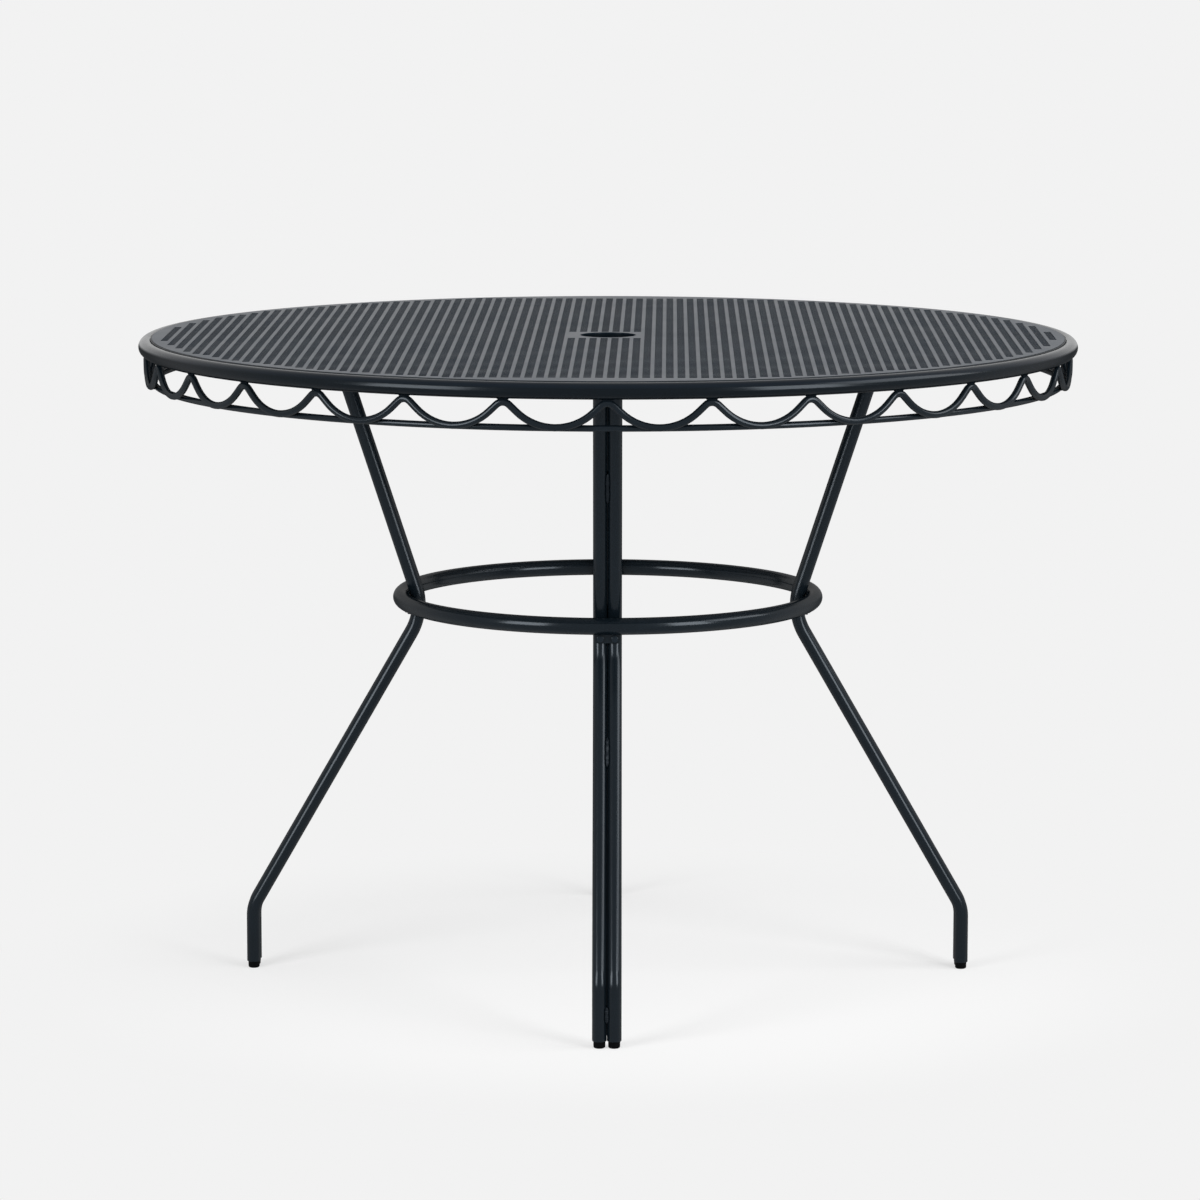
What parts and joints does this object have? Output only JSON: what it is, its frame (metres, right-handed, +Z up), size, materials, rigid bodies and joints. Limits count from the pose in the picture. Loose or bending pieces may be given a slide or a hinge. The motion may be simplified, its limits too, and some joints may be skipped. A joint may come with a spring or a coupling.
{
  "type": "umbrella table",
  "caption": "Round perforated-metal patio table with umbrella hole, scalloped rod skirt, paired dog-leg tube legs and brace ring",
  "frame": {"origin": "on the floor, under the centre of the umbrella hole, at the bottom centre of the bounding box", "axes": "+X to the right as the picture shows the table, through the right leg pair; +Y away from the camera, through the back leg pair; +Z up, along the umbrella pole"},
  "size_m": [1.0699, 1.07, 0.737],
  "materials": {
    "frame_paint": "satin",
    "sheet_paint": "satin",
    "glides": "matte",
    "fasteners": "satin"
  },
  "bodies": {
    "root": {"rim_tube": "frame_paint", "top_sheet": "sheet_paint", "umbrella_collar": "frame_paint", "support_rail_right": "frame_paint", "support_rail_back": "frame_paint", "support_rail_left": "frame_paint", "support_rail_front": "frame_paint", "scallop_rod": "frame_paint", "skirt_hoop": "frame_paint", "leg_plate_right": "frame_paint", "leg_plate_back": "frame_paint", "leg_plate_left": "frame_paint", "leg_plate_front": "frame_paint", "plate_bolts": "fasteners", "leg_tube_right_a": "frame_paint", "leg_tube_right_b": "frame_paint", "leg_tube_back_a": "frame_paint", "leg_tube_back_b": "frame_paint", "leg_tube_left_a": "frame_paint", "leg_tube_left_b": "frame_paint", "leg_tube_front_a": "frame_paint", "leg_tube_front_b": "frame_paint", "foot_glide_right_a": "glides", "foot_glide_right_b": "glides", "foot_glide_back_a": "glides", "foot_glide_back_b": "glides", "foot_glide_left_a": "glides", "foot_glide_left_b": "glides", "foot_glide_front_a": "glides", "foot_glide_front_b": "glides", "brace_ring": "frame_paint", "ring_bracket_right": "frame_paint", "ring_bracket_back": "frame_paint", "ring_bracket_left": "frame_paint", "ring_bracket_front": "frame_paint", "ring_screws": "fasteners"}
  },
  "joints": []
}
